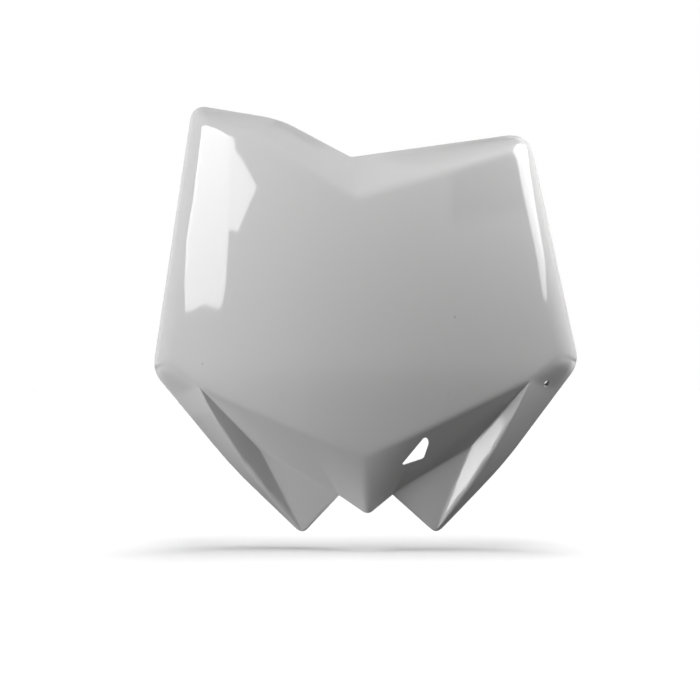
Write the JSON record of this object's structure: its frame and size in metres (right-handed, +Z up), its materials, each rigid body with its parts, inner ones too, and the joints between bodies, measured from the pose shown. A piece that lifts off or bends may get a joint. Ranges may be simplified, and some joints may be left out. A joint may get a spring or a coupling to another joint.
{
  "type": "racing number board",
  "caption": "Crowned front number board with rolled sides, notched top edge, two scoops, a keel, a rear fixing tongue and two locating pegs.",
  "frame": {"origin": "centre of the upper fixing hole, in the middle of the rear tongue's thickness", "axes": "+Z up along the fixing hole, -Y the way the printed face looks, +X to the viewer's right"},
  "size_m": [0.2728, 0.0455, 0.2715],
  "materials": {
    "board_plastic": "smooth moulded polypropylene with a gloss like lacquer"
  },
  "bodies": {
    "root": {"number_board": "board_plastic"}
  },
  "joints": []
}
